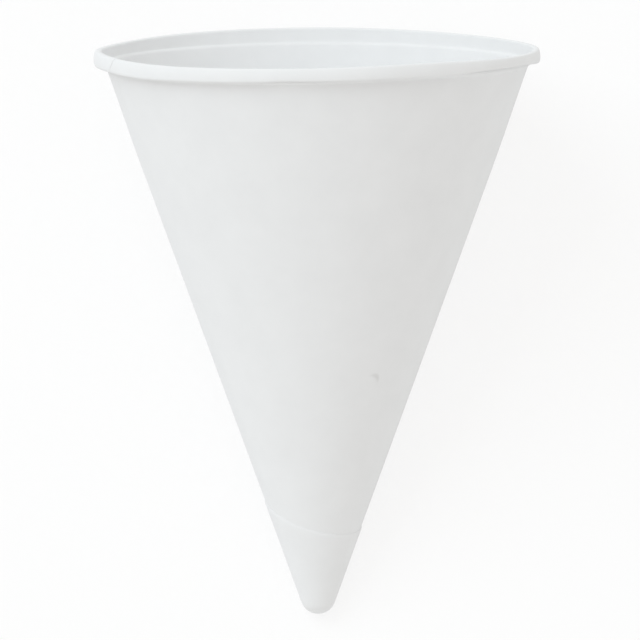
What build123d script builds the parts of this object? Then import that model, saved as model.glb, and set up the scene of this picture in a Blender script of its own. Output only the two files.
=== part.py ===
"""Cone paper cup with a rolled rim, wound from one sheet and lying on its side as it comes to rest."""

import os
from math import asin, atan2, ceil, cos, degrees, hypot, radians, sin, tan

from build123d import *

# Driving sizes, in millimetres and degrees. The front is the side that faces up when the cup lies down.
rim_diameter = 71.4  # over the rolled rim
height = 90.65  # along the axis, from the tip to the top of the rim
rim_width = 1.88  # of the flattened roll, from its inside face to its outside
rim_height = 2.3  # of the flattened roll, from its underside to its top
crease_depth = 2.4  # from the top of the rim down to the crease inside the mouth
roll_flats = 6  # short flats in each half turn of the roll
tuck_angle = 25  # how far the sheet's edge turns in past the bottom of the roll
paper = 0.18  # one layer of the sheet, measured square to the axis
glue = 0.05  # the film between two layers
outer_end = 100  # the sheet's outer end, degrees to the right of the front
inner_end = 97  # its inner end, degrees to the left of the front
tip_radius = 2.82  # outside of the rounded tip
tip_thickness = 0.6  # the layers pressed together at the very tip
wound_end = 3.0  # where the wound wall stops inside, over the tip
wrap_height = 16.25  # where the plane of the tip wrap's edge meets the axis, over the tip
wrap_slope = 25  # of that plane
wrap_low_side = 33  # where the edge is lowest, degrees to the right of the front
settle = 0.15  # how far the paper gives where the cup lies on the floor

# The rolled rim: an upright inside face, and a bend above and below of the same radius.
roll_radius = rim_width / 2
mouth_radius = rim_diameter / 2 - rim_width
crease_z = height - crease_depth
upper_z = height - roll_radius
lower_z = height - rim_height + roll_radius

# The wall leans so that the outside of the tip wrap runs tangent into the rounded tip.
wrap_radius = mouth_radius + 2 * paper + glue
half_angle = atan2(wrap_radius, crease_z - tip_radius)
half_angle -= asin(tip_radius / hypot(wrap_radius, crease_z - tip_radius))

# One layer runs across the front and two round the back, where the roll is thicker too. The sheet moves in by
# its own thickness over the lap, so the lap turns about two axes that lie a little off the cup's own.
one_layer = outer_end + inner_end
lap_thickness = 2 * paper + glue
lap_roll = roll_radius + (lap_thickness - paper) / 2
lap_radius = mouth_radius - glue / 2
lap_shift = paper / (2 + 2 * cos(radians(one_layer / 2)))
lap_middle = outer_end - one_layer / 2 + 180


def facing(angle):
    """The level direction that many degrees to the right of the front."""
    return Vector(sin(radians(angle)), -cos(radians(angle)), 0)


def below_crease(radius, z):
    """The radius at height z of a line that leans like the wall and has the given radius at the crease."""
    return radius - (crease_z - z) * tan(half_angle)


def bend(radius, z, size, start, end):
    """Points round a bend of the roll, from one angle to another about a centre at that radius and height."""
    steps = ceil(abs(end - start) * roll_flats / 180)
    angles = [radians(start + (end - start) * step / steps) for step in range(steps + 1)]
    return [(radius + size * cos(angle), z + size * sin(angle)) for angle in angles]


def wall_section(radius, thickness, outer_bend):
    """The sheet's section from inside the tip to its edge in the roll; radius is that of the inside face."""
    foot = below_crease(radius, wound_end)
    inner_bend = outer_bend - thickness
    roll = radius + outer_bend
    edge = -90 - tuck_angle
    outline = [(foot, wound_end), (radius, crease_z)]
    outline += bend(roll, upper_z, outer_bend, 180, 0)
    outline += bend(roll, lower_z, outer_bend, 0, edge)
    outline += bend(roll, lower_z, inner_bend, edge, 0)
    outline += bend(roll, upper_z, inner_bend, 0, 180)
    outline += [(radius + thickness, crease_z), (foot + thickness, wound_end)]
    return Plane.XZ * make_face(Polyline(*outline, close=True))


def wound(section, start, end, centre):
    """Part of a turn of the section about an upright axis through centre."""
    return Pos(centre) * Rot(0, 0, start - 90) * revolve(section, Axis.Z, end - start)


def tip_section():
    """The wrap and the rounded tip; the wrap's inside face runs in the middle of the wall that it covers."""
    top = 2 * wrap_height
    lean = degrees(half_angle)
    wall_middle = mouth_radius + paper / 2
    apex = crease_z - wall_middle / tan(half_angle)
    hollow_radius = (tip_thickness - apex) / (1 / sin(half_angle) - 1)
    hollow_z = tip_thickness + hollow_radius
    outside = CenterArc((0, tip_radius), tip_radius, -90, 90 - lean)
    inside = CenterArc((0, hollow_z), hollow_radius, -lean, lean - 90)
    outer_top = (below_crease(wrap_radius, top), top)
    inner_top = (below_crease(wall_middle, top), top)
    outline = [
        outside,
        Line(outside @ 1, outer_top),
        Line(outer_top, inner_top),
        Line(inner_top, inside @ 0),
        inside,
        Line(inside @ 1, outside @ 0),
    ]
    return Plane.XZ * make_face(outline)


front = wound(wall_section(mouth_radius, paper, roll_radius), -inner_end, outer_end, Vector(0, 0, 0))
right_axis = facing(outer_end) * lap_shift
right_radius = lap_radius - lap_shift
right = wound(wall_section(right_radius, lap_thickness, lap_roll), outer_end, lap_middle, right_axis)
left_axis = facing(-inner_end) * -lap_shift
left_radius = lap_radius - paper + lap_shift
left = wound(wall_section(left_radius, lap_thickness, lap_roll), lap_middle, 360 - inner_end, left_axis)

edge_normal = facing(wrap_low_side) * sin(radians(wrap_slope)) + Vector(0, 0, cos(radians(wrap_slope)))
edge_plane = Plane((0, 0, wrap_height), z_dir=edge_normal)
tip = split(revolve(tip_section(), Axis.Z), bisect_by=edge_plane, keep=Keep.BOTTOM)

cup = front + right + left + tip

# On its side the cup touches the floor with the roll's lower bend and with the tip, its mouth towards +Y.
floor_rise = right_radius + right_axis.dot(facing(180)) + lap_roll
floor_run = lower_z - tip_radius
floor_lean = atan2(floor_rise, floor_run)
floor_lean -= asin((tip_radius - lap_roll) / hypot(floor_rise, floor_run))
lying = Rot(degrees(floor_lean) - 90, 0, 0) * cup
floor = Plane.XY.offset(lying.bounding_box().min.Z + settle)
lying = split(lying, bisect_by=floor, keep=Keep.TOP)
box = lying.bounding_box()
lying = Pos(-box.center().X, -box.center().Y, -box.min.Z) * lying

os.makedirs("parts", exist_ok=True)
export_step(lying, "parts/cone_cup.step")
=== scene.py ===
import bpy
from math import cos, exp, pi, radians, sin, tan
from mathutils import Matrix, Vector, noise


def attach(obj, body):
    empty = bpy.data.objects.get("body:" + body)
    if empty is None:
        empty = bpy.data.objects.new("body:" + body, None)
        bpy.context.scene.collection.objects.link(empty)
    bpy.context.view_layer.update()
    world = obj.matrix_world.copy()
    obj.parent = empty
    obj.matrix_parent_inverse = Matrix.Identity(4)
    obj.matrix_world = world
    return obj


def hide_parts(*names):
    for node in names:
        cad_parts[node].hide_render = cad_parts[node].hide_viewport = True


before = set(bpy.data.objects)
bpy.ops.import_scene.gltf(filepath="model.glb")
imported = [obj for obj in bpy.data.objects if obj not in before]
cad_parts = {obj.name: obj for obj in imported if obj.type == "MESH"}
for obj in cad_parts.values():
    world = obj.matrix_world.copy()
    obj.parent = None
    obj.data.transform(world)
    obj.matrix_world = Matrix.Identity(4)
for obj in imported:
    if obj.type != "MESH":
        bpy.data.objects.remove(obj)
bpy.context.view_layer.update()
mm = 0.001

# the cup's own axes: x to the right, -y to the front, z up the axis from the tip, in mm
lying = {
    "lean": 20.816,  # degrees that the axis leans up from the floor
    "tip": (0, -48.5326, 1.6679),  # where the axis leaves the tip
}
lieDown = Matrix.Translation(Vector(lying["tip"]) * mm)
lieDown = lieDown @ Matrix.Rotation(radians(lying["lean"] - 90), 4, "X") @ Matrix.Scale(mm, 4)


def srgb(code):
    parts = [int(code[i:i + 2], 16) / 255 for i in (1, 3, 5)]
    return [c / 12.92 if c <= 0.04045 else ((c + 0.055) / 1.055) ** 2.4 for c in parts] + [1]


def addNode(tree, kind, links=(), **settings):
    node = tree.nodes.new(kind)
    for name, value in settings.items():
        if name.startswith("in_"):
            key = name[3:]
            node.inputs[int(key) if key.isdigit() else key.replace("_", " ")].default_value = value
        else:
            setattr(node, name, value)
    for source, socket in links:
        tree.links.new(source, node.inputs[socket])
    return node


def startPiece(name):
    piece = bpy.context.active_object
    piece.name = name
    piece.data.name = name
    return piece


def editAll():
    bpy.ops.object.mode_set(mode="EDIT")
    bpy.ops.mesh.select_all(action="SELECT")


def objectMode():
    bpy.ops.object.mode_set(mode="OBJECT")


def smooth(x):
    x = min(max(x, 0), 1)
    return x * x * (3 - 2 * x)


def hump(x, centre, width):
    return exp(-((x - centre) / width) ** 2)


# the wound sheet: one layer across the front, two round the back, a hollow roll along the mouth
sheet = {
    "halfAngle": 20.079,
    "mouthRadius": 33.82,
    "creaseZ": 88.25,
    "wallPinch": (0.22, 16),  # how far the wall is drawn in under the roll, and over what height
    "creaseLean": 60,  # degrees, the narrow ledge at the crease
    "ledgeReach": 0.19,  # mm up and down from the crease
    "bandFoot": 0.6,  # mm below the crease, where the wall's even rows end
    "bandLean": 12,  # degrees, the face between the crease and the top
    "bandBend": (0.1, 0.4),  # it starts to bend so far below the crease, over this height
    "topZ": 90.635,
    "rollHeight": 2.28,
    "shoulder": 0.3,  # radius of the bends on both sides of the roll's top
    "crown": (1.14, 15),  # radius of the top, and the degrees that it slopes down to each side
    "faceTurn": (18, 10),  # degrees that the roll's rounded face turns up and down from upright
    "underBend": 0.42,
    "tuck": (100, 0.38),  # degrees below level, and length, of the edge turned in under the roll
    "footZ": 3.0,
    "paper": 0.18,
    "outerEnd": -260,  # winding angle of the outer end, which lies 100 degrees to the right
    "innerEnd": 293.2,  # of the inner end where it crosses the roll, 67 degrees to the left
    "innerCut": 800,  # degrees times mm: its straight cut runs back by this over the height
    "apexDepth": 5.4,  # mm below the tip, from where that height counts
    "seamSlant": 1.1,  # degrees for each mm of height in the roll
    "lap": 163,  # degrees that the two ends overlap
    "front": (-97, 100),  # winding angles between which there is one layer
    "lapIn": 0.2,  # how far the inner end lies inside the front
    "lapOut": 0.19,  # how far the outer end lies outside it
    "rollStep": 0.065,  # how far the inner end stands out in the pressed roll
    "tightLap": (0.2, 14, 14),  # share of lapOut under the wrap, up to where, and mm to open over
    "columns": 300,
    "wallRows": 36,
    "bandRows": 22,
    "bendSteps": (6, 4, 6, 14, 8),  # shoulder, crown, shoulder, face and under bend
    "tuckRows": 3,
    "smoothAngle": 40,  # degrees; corners over this stay sharp
}


def arcRows(rows, size, start, end, steps):
    # a bend that goes on from the last row, round a middle inside the roll
    r, z = rows[-1][0] - size * cos(start), rows[-1][1] - size * sin(start)
    for i in range(1, steps + 1):
        a = start + (end - start) * i / steps
        rows.append((r + size * cos(a), z + size * sin(a), -cos(a), -sin(a), 1))


def sheetSection():
    # rows from the foot to the edge inside the roll: r, z, the normal, and the share of the roll
    lean, band, ledge = (radians(sheet[name]) for name in ("halfAngle", "bandLean", "creaseLean"))
    crease, shoulder, under = sheet["creaseZ"], sheet["shoulder"], sheet["underBend"]
    crown, slope = sheet["crown"][0], radians(sheet["crown"][1])
    faceTop, faceFoot = (radians(turn) for turn in sheet["faceTurn"])
    bendFoot, bendHeight = sheet["bandBend"]
    steps = sheet["bendSteps"]
    wallHeight = crease - sheet["bandFoot"] - sheet["footZ"]
    rows = []
    for i in range(sheet["wallRows"]):
        z = sheet["footZ"] + wallHeight * i / (sheet["wallRows"] - 1)
        pinch = sheet["wallPinch"][0] * smooth((z - crease) / sheet["wallPinch"][1] + 1)
        r = sheet["mouthRadius"] - pinch - (crease - z) * tan(lean)
        rows.append((r, z, cos(lean), -sin(lean), 0))
    r, z = rows[-1][:2]
    bandTop = sheet["topZ"] - crown * (1 - cos(slope)) - shoulder * (cos(slope) - sin(band))
    step = (bandTop - z) / sheet["bandRows"]
    for i in range(sheet["bandRows"]):
        middle = z + step / 2
        turn = lean + (band - lean) * smooth((middle - crease + bendFoot) / bendHeight)
        turn += (ledge - lean) * hump(middle, crease, sheet["ledgeReach"])
        r += step * tan(turn)
        z += step
        rows.append((r, z, cos(turn), -sin(turn), i / sheet["bandRows"]))
    arcRows(rows, shoulder, pi - band, pi / 2 + slope, steps[0])
    arcRows(rows, crown, pi / 2 + slope, pi / 2 - slope, steps[1])
    arcRows(rows, shoulder, pi / 2 - slope, faceTop, steps[2])
    faceHeight = sheet["rollHeight"] - sheet["topZ"] + rows[-1][1] - under * (1 - sin(faceFoot))
    arcRows(rows, faceHeight / (sin(faceTop) + sin(faceFoot)), faceTop, -faceFoot, steps[3])
    tuck = radians(sheet["tuck"][0])
    arcRows(rows, under, -faceFoot, -tuck, steps[4])
    r, z = rows[-1][:2]
    for i in range(1, sheet["tuckRows"] + 1):
        run = sheet["tuck"][1] * i / sheet["tuckRows"]
        rows.append((r - run * sin(tuck), z - run * cos(tuck), -cos(tuck), sin(tuck), 1))
    return rows


def layerShift(angle, z, inRoll):
    start, end = sheet["front"]
    if angle > end:
        depth = sheet["lapIn"] + (sheet["rollStep"] - sheet["lapIn"]) * inRoll
        return -depth * min((angle - end) / sheet["lap"], 1)
    if angle < start:
        share, tightTop, opening = sheet["tightLap"]
        pressed = share + (1 - share) * smooth((z - tightTop) / opening)
        return sheet["lapOut"] * pressed * (start - angle) / sheet["lap"]
    return 0


# how the mouth departs from a true ring: each hump is its size in mm, its place in degrees to the
# right of the front, and half its width in degrees
mouth = {
    "rises": ((0.4, 31, 23), (-0.5, -48, 34), (-0.15, -140, 30), (-0.06, 140, 30)),
    "riseFrom": (50, 38),  # the wall takes them up from this height on, over so many mm
    "rollDips": ((-0.53, -110, 27), (-0.25, 122, 30)),  # the roll alone, lower at both sides
    "bulges": ((0.07, -90, 40), (-0.2, 95, 45)),  # full on the left and flat on the right
    "under": ((0.12, -5, 22), (-0.22, -58, 18), (0.11, -9, 5)),  # the roll's underside in front
    "underTight": (0.62, 33, 18, 66, 24),  # raised on the right: mm, then where it starts and ends
    "underWaves": ((0.03, 5, 0.6), (0.02, 11, 2.1)),  # mm, waves in one turn, and phase
    "underEnd": (0.08, 245, 35),  # lower towards the inner end: mm, winding angle, and degrees
}


def sideOf(angle):
    return (angle + 180) % 360 - 180


def humps(place, name):
    return sum(size * hump(place, centre, width) for size, centre, width in mouth[name])


def underRise(angle):
    # low near the seam, higher across the front with a dent left of the middle, most on the right
    size, start, startOver, end, endOver = mouth["underTight"]
    side = sideOf(angle)
    rise = humps(angle, "under")
    rise += size * smooth((side - start) / startOver) * (1 - smooth((side - end) / endOver))
    for wave, count, phase in mouth["underWaves"]:
        rise += wave * sin(radians(count * angle) + phase)
    size, start, startOver = mouth["underEnd"]
    return rise - size * smooth((angle - start) / startOver)


rows = sheetSection()
print("roll reaches", round(max(row[0] for row in rows), 3), "from the axis")
bpy.ops.object.select_all(action="DESELECT")
bpy.ops.mesh.primitive_grid_add(
    x_subdivisions=sheet["columns"], y_subdivisions=len(rows) - 1, size=2,
)
wall = startPiece("paper_cup")
rollTop = sheet["topZ"] - sheet["shoulder"]
rollDepth = sheet["rollHeight"] - sheet["shoulder"]
seamMiddle = sheet["topZ"] - sheet["rollHeight"] / 2
riseFoot, riseOver = mouth["riseFrom"]
for vertex in wall.data.vertices:
    across = (vertex.co.x + 1) / 2
    r, z, nr, nz, inRoll = rows[round((vertex.co.y + 1) / 2 * (len(rows) - 1))]
    cut = 1 / (z + sheet["apexDepth"]) - 1 / (sheet["topZ"] + sheet["apexDepth"])
    end = sheet["innerEnd"] - sheet["innerCut"] * cut
    end += inRoll * sheet["seamSlant"] * (z - seamMiddle)
    angle = sheet["outerEnd"] + across * (end - sheet["outerEnd"])
    shift = layerShift(angle, z, inRoll)
    side = sideOf(angle)
    rise = humps(side, "rises") * smooth((z - riseFoot) / riseOver)
    rise += humps(side, "rollDips") * inRoll
    r += humps(side, "bulges") * (z / sheet["topZ"]) ** 2
    if inRoll == 1 and z < rollTop:
        z += underRise(angle) * (rollTop - z) / rollDepth
    r += nr * shift + rise * tan(radians(sheet["halfAngle"]))
    z += nz * shift + rise
    turn = radians(angle)
    vertex.co = lieDown @ Vector((r * sin(turn), -r * cos(turn), z))
    vertex.co.z = max(vertex.co.z, 0)  # the roll gives a little where the cup lies on it
editAll()
bpy.ops.mesh.normals_make_consistent(inside=False)
objectMode()

# the faces have to point outwards, as the one on top of the cup shows
topFace = max(
    wall.data.polygons,
    key=lambda face: face.center.z - abs(face.center.y) - abs(face.center.x),
)
if topFace.normal.z < 0:
    editAll()
    bpy.ops.mesh.flip_normals()
    objectMode()
thicken = wall.modifiers.new("paper", "SOLIDIFY")
thicken.thickness = sheet["paper"] * mm
thicken.offset = 1
bpy.ops.object.modifier_apply(modifier="paper")
print("sheet wound:", len(wall.data.polygons), "faces")

# the end of the sheet that wraps the tip, and the rounded tip itself
wrap = {
    "dome": (3.2, 14),  # radius of the blunt end, and the degrees that it slopes up to
    "domeRise": 0.03,
    "radiusAtCrease": 34.23,  # of its outside, if it reached so far
    "thickness": 0.14,
    "pressed": (0.05, 4, 8),  # mm nearer to the wall, from this height on, over so many mm
    "edgeDrop": 0.13,  # the edge itself is worn down soft, over this width
    "edgeWidth": 0.45,
    "edgeLines": 5,
    "edgeHeight": 15.97,  # where the plane of its edge meets the axis
    "edgeSlope": 21.4,
    "lowSide": 43,  # degrees to the right of the front
    "rows": (8, 32, 30),  # in the blunt end, the bend and the wall
    "steps": 160,
    "merge": 0.002,  # mm between corners that become one
    "wrinkle": (0.018, 0.5),  # depth and spacing of the small level folds at the very tip
    "wrinkleZone": (0.3, 0.8, 1.6),  # full from this height, fading from this one over so many mm
    "wrinkleNoise": (0.5, 0.8),  # for each mm: how the folds wander, and where they stop
    "wrinkleCentre": 2.8,  # height of the point that they are pressed towards
}


def wrapSection():
    # the blunt end, the bend that runs from it into the wall, and the straight wall
    lean = radians(sheet["halfAngle"])
    wallAtTip = wrap["radiusAtCrease"] - sheet["creaseZ"] * tan(lean)
    dome, slope = wrap["dome"][0], radians(wrap["dome"][1])
    closer, closerFoot, closerOver = wrap["pressed"]
    domeRows, bendRows, wallRows = wrap["rows"]
    points = []
    for i in range(domeRows + 1):
        a = slope * i / domeRows
        points.append((dome * sin(a), wrap["domeRise"] + dome - dome * cos(a)))
    r, z = points[-1]
    bend = (wallAtTip + z * tan(lean) - r) * cos(lean) / (1 - sin(lean + slope))
    r, z = r - bend * sin(slope), z + bend * cos(slope)
    for i in range(1, bendRows + 1):
        a = slope - pi / 2 + (pi / 2 - lean - slope) * i / bendRows
        points.append((r + bend * cos(a), z + bend * sin(a)))
    foot = points[-1][1]
    top = 2 * wrap["edgeHeight"]  # well over the slanting edge, which is cut later
    for i in range(1, wallRows + 1):
        z = foot + (top - foot) * i / wallRows
        r = wallAtTip + z * tan(lean) - closer * smooth((z - closerFoot) / closerOver)
        points.append((r, z))
    return points


def drawChain(name, points):
    # a plane merged to one corner, then extruded from point to point
    bpy.ops.object.select_all(action="DESELECT")
    bpy.ops.mesh.primitive_plane_add(size=mm, location=points[0])
    piece = startPiece(name)
    bpy.ops.object.transform_apply(location=True, rotation=True, scale=True)
    editAll()
    bpy.ops.mesh.merge(type="CENTER")
    for before, after in zip(points, points[1:]):
        bpy.ops.mesh.extrude_region_move(TRANSFORM_OT_translate={"value": after - before})
    bpy.ops.mesh.select_all(action="SELECT")
    return piece


axis = (lieDown.to_3x3() @ Vector((0, 0, 1))).normalized()
tip = drawChain("tip_wrap", [lieDown @ Vector((0, -r, z)) for r, z in wrapSection()])
bpy.ops.mesh.spin(steps=wrap["steps"], angle=2 * pi, center=lieDown.translation, axis=axis)
bpy.ops.mesh.select_all(action="SELECT")
bpy.ops.mesh.remove_doubles(threshold=wrap["merge"] * mm)
low, slope = radians(wrap["lowSide"]), radians(wrap["edgeSlope"])
edgeNormal = Vector((sin(low) * sin(slope), -cos(low) * sin(slope), cos(slope)))
edgeNormal = (lieDown.to_3x3() @ edgeNormal).normalized()
edgePoint = lieDown @ Vector((0, 0, wrap["edgeHeight"]))
bpy.ops.mesh.bisect(plane_co=edgePoint, plane_no=edgeNormal, clear_outer=True)
for i in range(wrap["edgeLines"]):  # lines along the edge, for its soft fall
    bpy.ops.mesh.select_all(action="SELECT")
    share = (i + 1) / wrap["edgeLines"]
    below = edgePoint - edgeNormal * share * wrap["edgeWidth"] * mm
    bpy.ops.mesh.bisect(plane_co=below, plane_no=edgeNormal)
bpy.ops.mesh.select_all(action="SELECT")
bpy.ops.mesh.normals_make_consistent(inside=False)
objectMode()
standUp = lieDown.inverted()
middle = Vector((0, 0, wrap["wrinkleCentre"]))
deep, spacing = wrap["wrinkle"]
fullFrom, fadeFrom, fadeOver = wrap["wrinkleZone"]
wander, patches = wrap["wrinkleNoise"]
for vertex in tip.data.vertices:
    place = standUp @ vertex.co
    below = (edgePoint - vertex.co).dot(edgeNormal) / mm
    drop = wrap["edgeDrop"] * (1 - smooth(below / wrap["edgeWidth"]))
    place -= Vector((place.x, place.y, 0)).normalized() * drop
    wave = sin(2 * pi * (place.z / spacing + noise.noise(place * wander)))
    wave *= smooth(0.5 + noise.noise(place * patches + middle))
    inZone = smooth(place.z / fullFrom) * (1 - smooth((place.z - fadeFrom) / fadeOver))
    depth = deep * (1 + wave) * inZone
    vertex.co = lieDown @ (place - (place - middle).normalized() * depth)
    vertex.co.z = max(vertex.co.z, 0)  # and the tip gives a little too
thicken = tip.modifiers.new("paper", "SOLIDIFY")
thicken.thickness = wrap["thickness"] * mm
thicken.offset = -1
bpy.ops.object.modifier_apply(modifier="paper")
print("tip wrapped:", len(tip.data.polygons), "faces")

bpy.ops.object.select_all(action="DESELECT")
tip.select_set(True)
wall.select_set(True)
bpy.context.view_layer.objects.active = wall
bpy.ops.object.join()
cup = wall
bpy.ops.object.shade_smooth_by_angle(angle=radians(sheet["smoothAngle"]))

# uncoated white paper: matte, cloudy where the fibres lie unevenly, with a fine felt of fibres
paper = {
    "colour": "#F1F2F3",
    "cloud": "#EBECED",
    "cloudSize": 5.0,  # mm
    "cloudNoise": (3, 0.55),  # detail and roughness
    "fibreSize": 0.35,  # mm; real fibres are finer, and drawn so coarse that they show
    "fibreNoise": (4, 0.6),
    "fibreBump": (0.12, 0.05),  # strength, and depth in mm
    "roughness": 0.8,
    "ior": 1.48,
    "specular": 0.35,
    "greyMark": "#A8A5A3",
    "greyMarkAt": (33.4, 39.1),  # degrees to the right of the front, mm over the tip
    "greyMarkSize": (1.22, 0.48, 0.15),  # half its length, width and depth, mm
    "greyMarkBow": 1.4,  # its height as a bow, in half widths
    "greyMarkTurn": 37,  # degrees down to the right
    "greyMarkFade": (1.3, 0.2),  # where it starts and is full, in half widths from its middle line
    "greyMarkShare": (0.19, 0.24),  # how much of it shows at its left and its right end
}


def paperMaterial():
    material = bpy.data.materials.new("uncoated paper")
    material.use_nodes = True
    tree = material.node_tree
    shader = tree.nodes["Principled BSDF"]
    shader.inputs["Roughness"].default_value = paper["roughness"]
    shader.inputs["IOR"].default_value = paper["ior"]
    shader.inputs["Specular IOR Level"].default_value = paper["specular"]
    place = addNode(tree, "ShaderNodeTexCoord")
    clouds = addNode(
        tree, "ShaderNodeTexNoise", [(place.outputs["Object"], "Vector")],
        in_Scale=1 / (paper["cloudSize"] * mm),
        in_Detail=paper["cloudNoise"][0], in_Roughness=paper["cloudNoise"][1],
    )
    base = addNode(
        tree, "ShaderNodeMix", [(clouds.outputs["Fac"], 0)], data_type="RGBA",
        in_6=srgb(paper["cloud"]), in_7=srgb(paper["colour"]),
    )
    fibres = addNode(
        tree, "ShaderNodeTexNoise", [(place.outputs["Object"], "Vector")],
        in_Scale=1 / (paper["fibreSize"] * mm),
        in_Detail=paper["fibreNoise"][0], in_Roughness=paper["fibreNoise"][1],
    )
    bump = addNode(
        tree, "ShaderNodeBump", [(fibres.outputs["Fac"], "Height")],
        in_Strength=paper["fibreBump"][0], in_Distance=paper["fibreBump"][1] * mm,
    )
    # a thin grey bow mixed into the paper's colour on the right of the front, darker towards its
    # right end
    side, z = radians(paper["greyMarkAt"][0]), paper["greyMarkAt"][1]
    lean = radians(sheet["halfAngle"])
    r = sheet["mouthRadius"] + sheet["paper"] - (sheet["creaseZ"] - z) * tan(lean)
    turned = lieDown.to_3x3() @ Matrix.Rotation(side, 3, "Z")
    turned = turned @ Matrix.Rotation(pi / 2 + lean, 3, "X")
    turned = (turned @ Matrix.Rotation(-radians(paper["greyMarkTurn"]), 3, "Z")).normalized()
    local = addNode(
        tree, "ShaderNodeMapping", [(place.outputs["Object"], "Vector")], vector_type="TEXTURE",
        in_Location=lieDown @ Vector((r * sin(side), -r * cos(side), z)),
        in_Rotation=turned.to_euler(),
        in_Scale=[size * mm for size in paper["greyMarkSize"]],
    )
    parts = addNode(tree, "ShaderNodeSeparateXYZ", [(local.outputs[0], 0)])
    bow = addNode(
        tree, "ShaderNodeMath", [(parts.outputs[0], 0), (parts.outputs[0], 1)],
        operation="MULTIPLY",
    )
    across = addNode(
        tree, "ShaderNodeMath", [(bow.outputs[0], 0), (parts.outputs[1], 2)],
        operation="MULTIPLY_ADD", in_1=paper["greyMarkBow"],
    )
    across = addNode(
        tree, "ShaderNodeMath", [(across.outputs[0], 0)],
        operation="SUBTRACT", in_1=paper["greyMarkBow"],
    )
    joined = addNode(tree, "ShaderNodeCombineXYZ", [
        (parts.outputs[0], 0), (across.outputs[0], 1), (parts.outputs[2], 2),
    ])
    far = addNode(tree, "ShaderNodeVectorMath", [(joined.outputs[0], 0)], operation="LENGTH")
    mark = addNode(
        tree, "ShaderNodeMapRange", [(far.outputs["Value"], "Value")],
        interpolation_type="SMOOTHSTEP",
        in_1=paper["greyMarkFade"][0], in_2=paper["greyMarkFade"][1], in_3=0, in_4=1,
    )
    darker = addNode(
        tree, "ShaderNodeMapRange", [(parts.outputs[0], "Value")],
        in_1=-1, in_2=1, in_3=paper["greyMarkShare"][0], in_4=paper["greyMarkShare"][1],
    )
    share = addNode(
        tree, "ShaderNodeMath", [(mark.outputs[0], 0), (darker.outputs[0], 1)],
        operation="MULTIPLY",
    )
    marked = addNode(
        tree, "ShaderNodeMix", [(share.outputs[0], 0), (base.outputs[2], 6)],
        data_type="RGBA", in_7=srgb(paper["greyMark"]),
    )
    tree.links.new(marked.outputs[2], shader.inputs["Base Color"])
    tree.links.new(bump.outputs["Normal"], shader.inputs["Normal"])
    return material


cup.data.materials.clear()
cup.data.materials.append(paperMaterial())
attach(cup, "root")
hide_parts("cone_cup")
print("paper on the cup:", len(cup.data.polygons), "faces")

# a plain white floor that keeps the shadow
floorLook = {
    "colour": "#FBFBFB",
    "roughness": 0.9,
    "size": 8,  # m
    "below": 0.02,  # mm under the cup, so that the two don't mix
    "white": 0.78,  # how far the floor that the camera sees is brought to white
}


def seenRays(tree):
    # 1 for the rays by which the camera sees the white, 0 for those that light the cup
    rays = addNode(tree, "ShaderNodeLightPath")
    seen = rays.outputs["Is Camera Ray"]
    for name in ("Is Glossy Ray", "Is Transmission Ray"):
        links = [(seen, 0), (rays.outputs[name], 1)]
        seen = addNode(tree, "ShaderNodeMath", links, use_clamp=True).outputs[0]
    return seen


bpy.ops.object.select_all(action="DESELECT")
floorPlace = (0, 0, -floorLook["below"] * mm)
bpy.ops.mesh.primitive_plane_add(size=floorLook["size"], location=floorPlace)
floor = startPiece("floor")
floorMaterial = bpy.data.materials.new("white paper sweep")
floorMaterial.use_nodes = True
tree = floorMaterial.node_tree
shader = tree.nodes["Principled BSDF"]
shader.inputs["Base Color"].default_value = srgb(floorLook["colour"])
shader.inputs["Roughness"].default_value = floorLook["roughness"]
share = addNode(
    tree, "ShaderNodeMath", [(seenRays(tree), 0)],
    operation="MULTIPLY", in_1=floorLook["white"],
)
glow = addNode(tree, "ShaderNodeEmission", in_Color=(1, 1, 1, 1), in_Strength=1)
both = addNode(tree, "ShaderNodeMixShader", [
    (share.outputs[0], 0), (shader.outputs[0], 1), (glow.outputs[0], 2),
])
tree.links.new(both.outputs[0], tree.nodes["Material Output"].inputs["Surface"])
floor.data.materials.append(floorMaterial)

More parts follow.
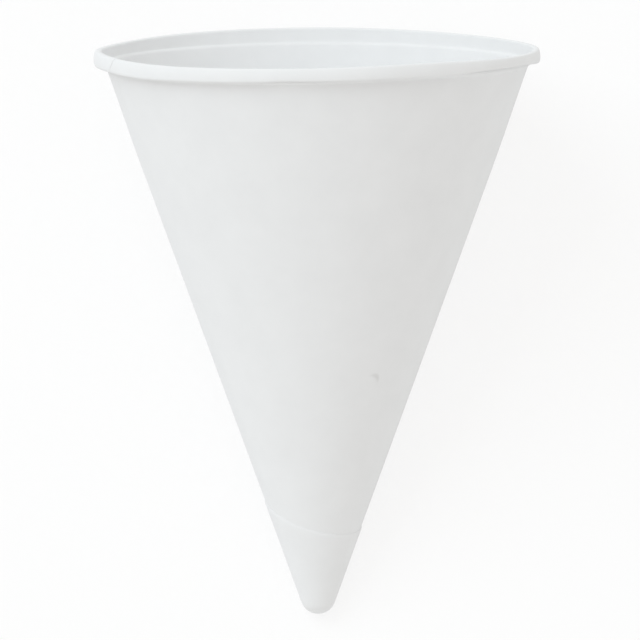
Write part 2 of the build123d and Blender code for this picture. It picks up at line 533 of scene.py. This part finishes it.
# even room light, and one large soft lamp from the upper left of the picture
light = {
    "room": "#FFFDFA",
    "roomStrength": 0.775,
    "lampColour": (0.84, 0.94, 1),
    "lampSize": 1.8,  # m
    "lampPlace": (-1.3, 0.95, 2.18),  # m
    "lampWatts": 24.2,
}
world = bpy.data.worlds.new("studio")
bpy.context.scene.world = world
world.use_nodes = True
tree = world.node_tree
room = tree.nodes["Background"]
room.inputs["Color"].default_value = srgb(light["room"])
room.inputs["Strength"].default_value = light["roomStrength"]
white = addNode(tree, "ShaderNodeBackground", in_Color=(1, 1, 1, 1), in_Strength=1)
both = addNode(tree, "ShaderNodeMixShader", [
    (seenRays(tree), 0), (room.outputs[0], 1), (white.outputs[0], 2),
])
tree.links.new(both.outputs[0], tree.nodes["World Output"].inputs["Surface"])

bpy.ops.object.light_add(type="AREA", location=light["lampPlace"])
lamp = bpy.context.active_object
lamp.data.size = light["lampSize"]
lamp.data.energy = light["lampWatts"]
lamp.data.color = light["lampColour"]
lamp.rotation_euler = (-lamp.location).to_track_quat("-Z", "Y").to_euler()
print("floor, room and lamp in place")

# the camera looks down on the lying cup, so that it stands upright in the picture
view = {
    "elevation": 75.4,
    "lens": 1000,
    "sensor": 36,
    "reach": 20,  # m that the camera sees
    "widthSeen": 101.31,  # mm across the picture
    "centre": (0.337, 46.83),  # of the picture, right of the axis and up from the tip, mm
    "nearer": 20,  # mm from the tip towards the camera, where that width is seen
    "roll": -0.05,
}
bpy.ops.object.camera_add()
camera = bpy.context.active_object
camera.data.lens = view["lens"]
camera.data.sensor_width = view["sensor"]
camera.data.clip_end = view["reach"]
high = radians(view["elevation"])
towards = Vector((0, -cos(high), sin(high)))
upwards = Vector((0, sin(high), cos(high)))
right, up = view["centre"]
target = lieDown.translation + (Vector((1, 0, 0)) * right + upwards * up) * mm
target += towards * (view["nearer"] * mm)
distance = view["lens"] / view["sensor"] * view["widthSeen"] * mm
turned = Matrix.Rotation(radians(view["roll"]), 3, towards)
camera.matrix_world = Matrix.Translation(target + towards * distance) @ Matrix((
    turned @ Vector((1, 0, 0)), turned @ upwards, towards
)).transposed().to_4x4()
bpy.context.scene.camera = camera
bpy.context.scene.view_settings.view_transform = "Standard"
print("camera", camera.location[:])
